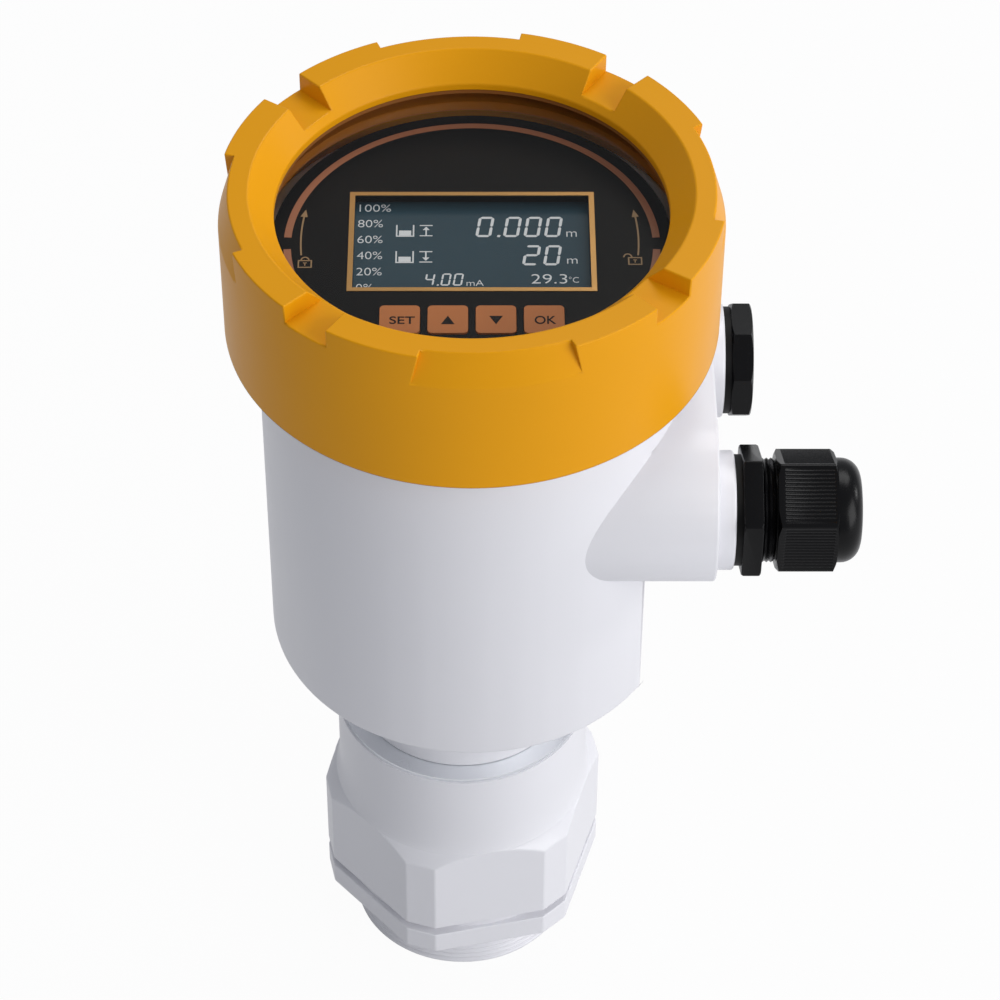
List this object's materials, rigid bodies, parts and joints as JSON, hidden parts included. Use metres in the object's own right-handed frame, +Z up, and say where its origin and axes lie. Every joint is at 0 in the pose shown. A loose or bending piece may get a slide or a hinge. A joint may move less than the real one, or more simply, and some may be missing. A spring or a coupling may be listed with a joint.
{
  "type": "radar level transmitter",
  "caption": "Radar level transmitter with a screw cap and window over a keyed display, a turnable plastic housing with two cable entries, and a threaded hexagonal process fitting.",
  "frame": {"origin": "centre of the process thread's lower end face, on the process axis", "axes": "+Z up along the process axis towards the display, +X towards the cable entries"},
  "size_m": [0.1227, 0.095, 0.2047],
  "materials": {
    "white_plastic": "smooth white moulded plastic, semi gloss",
    "lens_plastic": "turned white fluoropolymer",
    "steel": "bright turned steel",
    "board": "solder resist",
    "rubber": "moulded elastomer",
    "component_black": "moulded",
    "terminal_green": "moulded",
    "ribbon_grey": "satin",
    "display_black": "fine satin black",
    "display_glass": "smooth",
    "trim_gold": "printed satin gold",
    "key_copper": "satin copper tone",
    "cap_yellow": "smooth yellow-orange moulded plastic",
    "ring_brown": "moulded",
    "window_glass": "clear, slightly tinted",
    "black_nylon": "moulded nylon, satin"
  },
  "bodies": {
    "base": {"process_fitting": "white_plastic", "antenna_lens": "lens_plastic", "antenna_horn": "steel", "radar_module": "board", "signal_cable": "rubber", "swivel_washer": "steel", "swivel_seal": "rubber", "swivel_nut": "steel"},
    "housing": {"housing": "white_plastic", "cap_seal": "rubber", "main_board": "board", "board_components": "component_black", "board_screws": "steel", "terminal_block": "terminal_green", "terminal_screws": "steel", "ribbon_cable": "ribbon_grey", "display_cup": "display_black", "display_board": "board", "key_switches": "component_black", "lcd_backlight": "ribbon_grey", "lcd_panel": "display_glass", "display_plate": "display_black", "lcd_frame": "trim_gold", "gland_body": "black_nylon", "gland_seal": "rubber"},
    "window": {"sight_glass": "window_glass", "window_gasket": "rubber"},
    "cap": {"screw_cap": "cap_yellow", "window_ring": "ring_brown"},
    "key_set": {"key_set": "key_copper"},
    "key_up": {"key_up": "key_copper"},
    "key_down": {"key_down": "key_copper"},
    "key_ok": {"key_ok": "key_copper"},
    "gland_insert": {"gland_insert": "rubber"},
    "gland_nut": {"gland_nut": "black_nylon"},
    "plug_seal": {"plug_seal": "rubber"},
    "plug": {"blanking_plug": "black_nylon"}
  },
  "joints": [
    {"name": "swivel", "type": "hinge", "parent": "base", "child": "housing", "pos_m": [0, 0, 0.09], "axis": [0, 0, 1], "range_deg": [-165, 165]},
    {"name": "cap_lift", "type": "slide", "parent": "housing", "child": "window", "axis": [0, 0, 1], "range_m": [0, 0.0088]},
    {"name": "cap_turn", "type": "hinge", "parent": "window", "child": "cap", "pos_m": [0.002, 0, 0.19], "axis": [0, 0, 1], "range_deg": [0, 1057]},
    {"name": "key_set_press", "type": "slide", "parent": "housing", "child": "key_set", "axis": [0, 0, -1], "range_m": [0, 0.0005], "stiffness_N_per_m": 1000},
    {"name": "key_up_press", "type": "slide", "parent": "housing", "child": "key_up", "axis": [0, 0, -1], "range_m": [0, 0.0005], "stiffness_N_per_m": 1000},
    {"name": "key_down_press", "type": "slide", "parent": "housing", "child": "key_down", "axis": [0, 0, -1], "range_m": [0, 0.0005], "stiffness_N_per_m": 1000},
    {"name": "key_ok_press", "type": "slide", "parent": "housing", "child": "key_ok", "axis": [0, 0, -1], "range_m": [0, 0.0005], "stiffness_N_per_m": 1000},
    {"name": "gland_nut_advance", "type": "slide", "parent": "housing", "child": "gland_insert", "axis": [1, 0, 0], "range_m": [0, 0.0066]},
    {"name": "gland_nut_turn", "type": "hinge", "parent": "gland_insert", "child": "gland_nut", "pos_m": [0.066, -0.0214, 0.141], "axis": [1, 0, 0], "range_deg": [0, 1585]},
    {"name": "plug_advance", "type": "slide", "parent": "housing", "child": "plug_seal", "axis": [1, 0, 0], "range_m": [0, 0.008]},
    {"name": "plug_turn", "type": "hinge", "parent": "plug_seal", "child": "plug", "pos_m": [0.056, 0.0214, 0.141], "axis": [1, 0, 0], "range_deg": [0, 1921]}
  ],
  "couplings": [
    {"joint": "cap_turn", "follows": "cap_lift", "rad_per_m": 2094.4},
    {"joint": "gland_nut_turn", "follows": "gland_nut_advance", "rad_per_m": 4188.8},
    {"joint": "plug_turn", "follows": "plug_advance", "rad_per_m": 4188.8}
  ]
}
